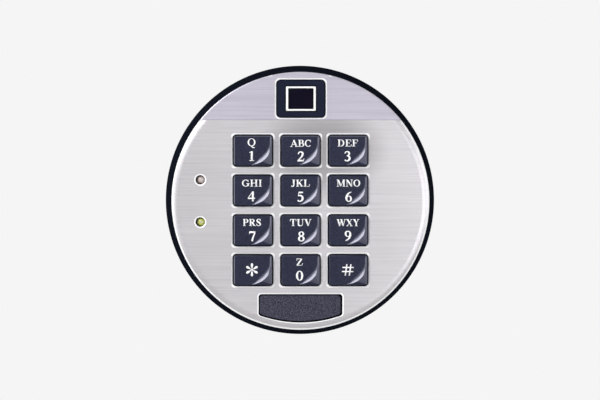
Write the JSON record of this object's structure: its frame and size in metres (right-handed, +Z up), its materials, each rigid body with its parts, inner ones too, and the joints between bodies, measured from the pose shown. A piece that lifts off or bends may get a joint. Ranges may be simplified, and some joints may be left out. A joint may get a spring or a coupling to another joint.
{
  "type": "safe lock",
  "caption": "Round keypad entry unit of an electronic safe lock, with sculpted keys, a fingerprint window, indicator lamps and a slide-out battery drawer.",
  "frame": {"origin": "centre of the mounting plate's back face, where it lies on the safe's door", "axes": "+Z up, +X to the right of someone facing the keys, +Y into the door: the keys face -Y"},
  "size_m": [0.1054, 0.038, 0.1054],
  "materials": {
    "brushed_face": "satin, brushed across",
    "black_housing": "fine spark texture",
    "key_plastic": "satin moulded, white legends",
    "inlay_grain": "fine grained, bare",
    "sensor_black": "satin",
    "frame_white": "satin",
    "sensor_glass": "polished, dark",
    "clear_lens": "water clear with a pink tint",
    "green_lens": "tinted yellow green",
    "mat_rubber": "matt",
    "board_green": "solder mask",
    "zinc_steel": "zinc plated",
    "contact_brass": "plated",
    "battery_case": "plain printed jacket",
    "component_black": "moulded",
    "ribbon_film": "polyimide film",
    "capacitor_sleeve": "shrunk sleeve"
  },
  "bodies": {
    "pad": {"mounting_plate": "zinc_steel", "rear_cover": "black_housing", "housing": "black_housing", "face_plate": "brushed_face", "sensor_plate": "brushed_face", "label_inlay": "inlay_grain", "sensor_bezel": "sensor_black", "sensor_frame": "frame_white", "sensor_window": "sensor_glass", "sensor_board": "board_green", "sensor_ribbon": "ribbon_film", "ribbon_connector": "component_black", "keypad_mat": "mat_rubber", "circuit_board": "board_green", "upper_led": "clear_lens", "lower_led": "green_lens", "cable_socket": "component_black", "buzzer": "component_black", "processor_chip": "component_black", "capacitor": "capacitor_sleeve", "contact_block": "component_black", "contact_plus": "contact_brass", "contact_minus": "contact_brass", "lock_screw": "zinc_steel", "board_screw_1": "zinc_steel", "cover_screw_1": "zinc_steel", "face_nut_1": "zinc_steel", "board_screw_2": "zinc_steel", "cover_screw_2": "zinc_steel", "face_nut_2": "zinc_steel", "board_screw_3": "zinc_steel", "cover_screw_3": "zinc_steel", "face_nut_3": "zinc_steel", "board_screw_4": "zinc_steel", "cover_screw_4": "zinc_steel", "face_nut_4": "zinc_steel", "sensor_nut_1": "zinc_steel", "sensor_nut_2": "zinc_steel"},
    "key_1": {"key_1": "key_plastic"},
    "key_2": {"key_2": "key_plastic"},
    "key_3": {"key_3": "key_plastic"},
    "key_4": {"key_4": "key_plastic"},
    "key_5": {"key_5": "key_plastic"},
    "key_6": {"key_6": "key_plastic"},
    "key_7": {"key_7": "key_plastic"},
    "key_8": {"key_8": "key_plastic"},
    "key_9": {"key_9": "key_plastic"},
    "key_star": {"key_star": "key_plastic"},
    "key_0": {"key_0": "key_plastic"},
    "key_hash": {"key_hash": "key_plastic"},
    "battery_drawer": {"battery_drawer": "black_housing", "battery": "battery_case"}
  },
  "joints": [
    {"name": "press_key_1", "type": "slide", "parent": "pad", "child": "key_1", "axis": [0, 1, 0], "range_m": [0, 0.0012], "stiffness_N_per_m": 600, "springref_m": -0.0008, "deforming": ["keypad_mat"]},
    {"name": "press_key_2", "type": "slide", "parent": "pad", "child": "key_2", "axis": [0, 1, 0], "range_m": [0, 0.0012], "stiffness_N_per_m": 600, "springref_m": -0.0008, "deforming": ["keypad_mat"]},
    {"name": "press_key_3", "type": "slide", "parent": "pad", "child": "key_3", "axis": [0, 1, 0], "range_m": [0, 0.0012], "stiffness_N_per_m": 600, "springref_m": -0.0008, "deforming": ["keypad_mat"]},
    {"name": "press_key_4", "type": "slide", "parent": "pad", "child": "key_4", "axis": [0, 1, 0], "range_m": [0, 0.0012], "stiffness_N_per_m": 600, "springref_m": -0.0008, "deforming": ["keypad_mat"]},
    {"name": "press_key_5", "type": "slide", "parent": "pad", "child": "key_5", "axis": [0, 1, 0], "range_m": [0, 0.0012], "stiffness_N_per_m": 600, "springref_m": -0.0008, "deforming": ["keypad_mat"]},
    {"name": "press_key_6", "type": "slide", "parent": "pad", "child": "key_6", "axis": [0, 1, 0], "range_m": [0, 0.0012], "stiffness_N_per_m": 600, "springref_m": -0.0008, "deforming": ["keypad_mat"]},
    {"name": "press_key_7", "type": "slide", "parent": "pad", "child": "key_7", "axis": [0, 1, 0], "range_m": [0, 0.0012], "stiffness_N_per_m": 600, "springref_m": -0.0008, "deforming": ["keypad_mat"]},
    {"name": "press_key_8", "type": "slide", "parent": "pad", "child": "key_8", "axis": [0, 1, 0], "range_m": [0, 0.0012], "stiffness_N_per_m": 600, "springref_m": -0.0008, "deforming": ["keypad_mat"]},
    {"name": "press_key_9", "type": "slide", "parent": "pad", "child": "key_9", "axis": [0, 1, 0], "range_m": [0, 0.0012], "stiffness_N_per_m": 600, "springref_m": -0.0008, "deforming": ["keypad_mat"]},
    {"name": "press_key_star", "type": "slide", "parent": "pad", "child": "key_star", "axis": [0, 1, 0], "range_m": [0, 0.0012], "stiffness_N_per_m": 600, "springref_m": -0.0008, "deforming": ["keypad_mat"]},
    {"name": "press_key_0", "type": "slide", "parent": "pad", "child": "key_0", "axis": [0, 1, 0], "range_m": [0, 0.0012], "stiffness_N_per_m": 600, "springref_m": -0.0008, "deforming": ["keypad_mat"]},
    {"name": "press_key_hash", "type": "slide", "parent": "pad", "child": "key_hash", "axis": [0, 1, 0], "range_m": [0, 0.0012], "stiffness_N_per_m": 600, "springref_m": -0.0008, "deforming": ["keypad_mat"]},
    {"name": "slide_battery_drawer", "type": "slide", "parent": "pad", "child": "battery_drawer", "axis": [0, 0, -1], "range_m": [0, 0.034]}
  ]
}
